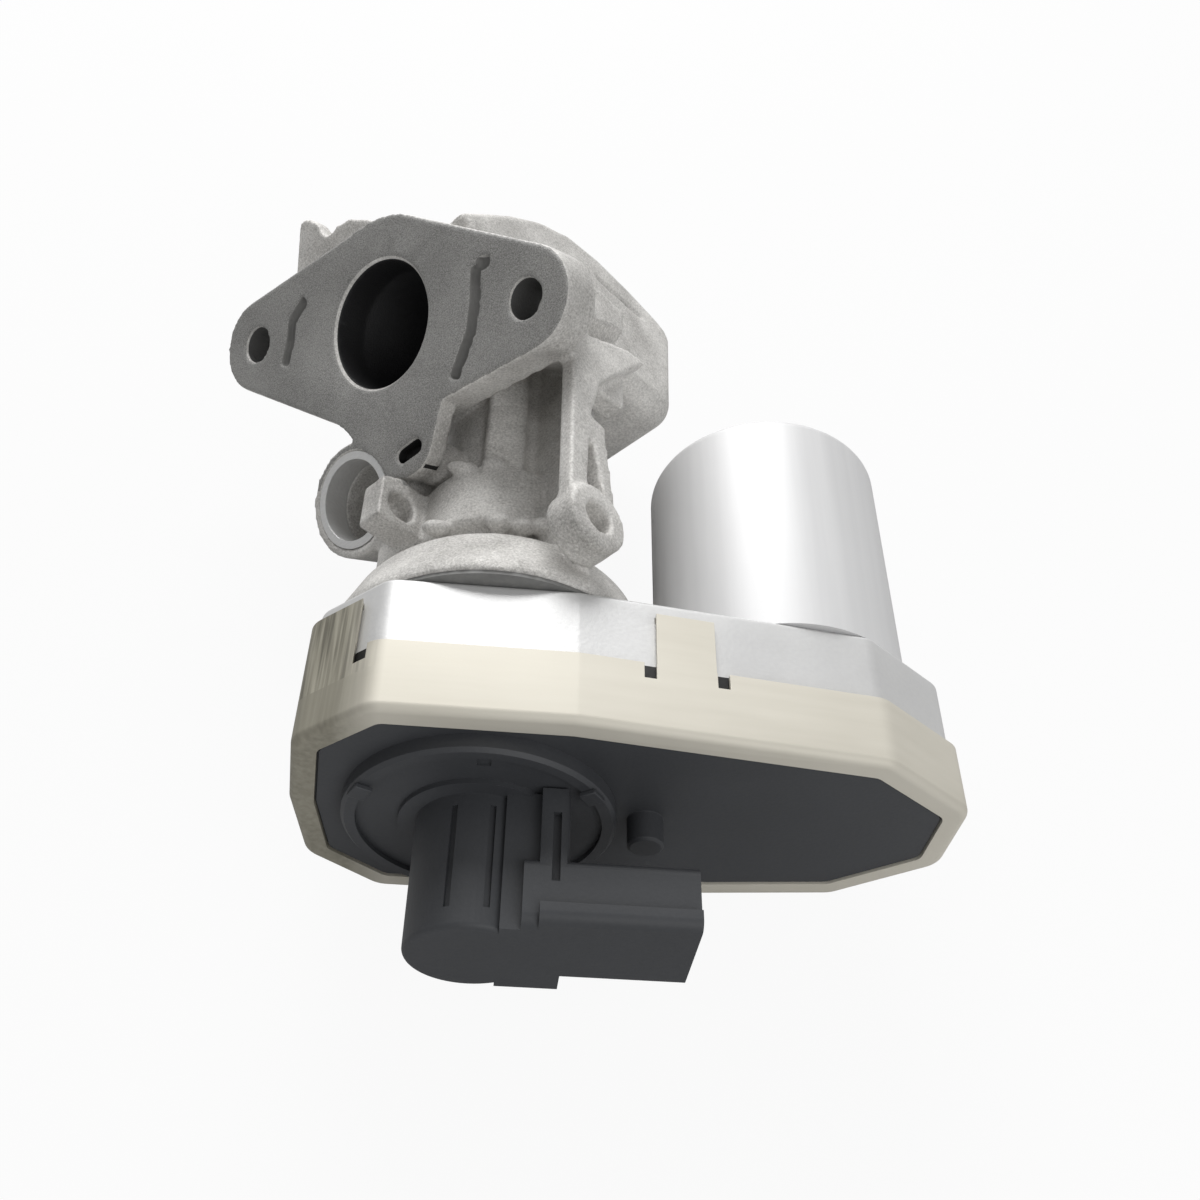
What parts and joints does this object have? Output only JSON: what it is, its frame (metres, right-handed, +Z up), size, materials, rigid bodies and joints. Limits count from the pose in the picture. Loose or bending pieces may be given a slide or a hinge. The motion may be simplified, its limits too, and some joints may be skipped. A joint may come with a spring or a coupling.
{
  "type": "egr valve",
  "caption": "Electric exhaust gas recirculation valve: cast body with a tilted two-bolt gas flange, geared motor beside it, position sensor and plug socket under the gear cover.",
  "frame": {"origin": "centre of the gas port on the flange's machined face", "axes": "+Y runs up the valve stem from the sensor to the valve, +X from the stem to the motor, +Z is up with the valve lying on its back"},
  "size_m": [0.1557, 0.1759, 0.0938],
  "materials": {
    "cast_aluminium": "sand-cast, grainy, light grey",
    "housing_aluminium": "die-cast, bright",
    "frame_steel": "nickel-coloured sheet steel",
    "can_steel": "drawn, satin",
    "machined_steel": "machined",
    "hard_steel": "ground",
    "spring_steel": "drawn wire",
    "core_steel": "laminated",
    "magnet": "sintered",
    "copper": "enamelled or turned",
    "bronze": "sintered",
    "carbon": "pressed carbon",
    "black_plastic": "moulded, fine grain",
    "inner_plastic": "moulded",
    "seal_rubber": "moulded",
    "gasket_sheet": "coated sheet"
  },
  "bodies": {
    "housing": {"body_gasket": "gasket_sheet", "body_screws": "hard_steel", "brush_holder": "inner_plastic", "brushes": "carbon", "connector_pins": "copper", "cover_seal": "seal_rubber", "gear_cover": "black_plastic", "gear_housing": "housing_aluminium", "guide_cage": "hard_steel", "intermediate_pin": "hard_steel", "motor_bushes": "bronze", "motor_can": "can_steel", "motor_end_plate": "machined_steel", "motor_magnets": "magnet", "motor_screws": "hard_steel", "output_bearing": "bronze", "retaining_frame": "frame_steel", "return_spring": "spring_steel", "sensor_clips": "black_plastic", "sensor_coil": "copper", "sensor_housing": "black_plastic", "side_port_ring": "machined_steel", "stem_bush": "bronze", "stem_seal": "seal_rubber", "top_plug": "machined_steel", "valve_body": "cast_aluminium", "valve_seat": "machined_steel"},
    "rotor": {"motor_shaft": "hard_steel", "motor_pinion": "bronze", "armature_core": "core_steel", "armature_windings": "copper", "commutator": "copper"},
    "idler": {"intermediate_gear": "inner_plastic"},
    "output": {"output_gear": "hard_steel"},
    "valve": {"valve_stem": "hard_steel", "valve_poppet": "machined_steel", "spring_retainer": "machined_steel", "cross_pin": "hard_steel", "cam_rollers": "hard_steel", "sensor_core": "core_steel"}
  },
  "joints": [
    {"name": "motor_turn", "type": "hinge", "parent": "housing", "child": "rotor", "pos_m": [0.08665, -0.0827, -0.02587], "axis": [0, 1, 0], "range_deg": [0, 2240]},
    {"name": "idler_turn", "type": "hinge", "parent": "housing", "child": "idler", "pos_m": [0.05945, -0.0827, -0.02587], "axis": [0, 1, 0], "range_deg": [-480.01, 0]},
    {"name": "output_turn", "type": "hinge", "parent": "housing", "child": "output", "pos_m": [0.02945, -0.0827, -0.02587], "axis": [0, 1, 0], "range_deg": [0, 120]},
    {"name": "valve_slide", "type": "slide", "parent": "housing", "child": "valve", "axis": [0, 1, 0], "range_m": [0, 0.006], "deforming": ["return_spring"]}
  ],
  "couplings": [
    {"joint": "idler_turn", "follows": "motor_turn", "ratio": -0.21429},
    {"joint": "output_turn", "follows": "motor_turn", "ratio": 0.053571},
    {"joint": "valve_slide", "follows": "motor_turn", "m_per_rad": 0.00015347}
  ]
}
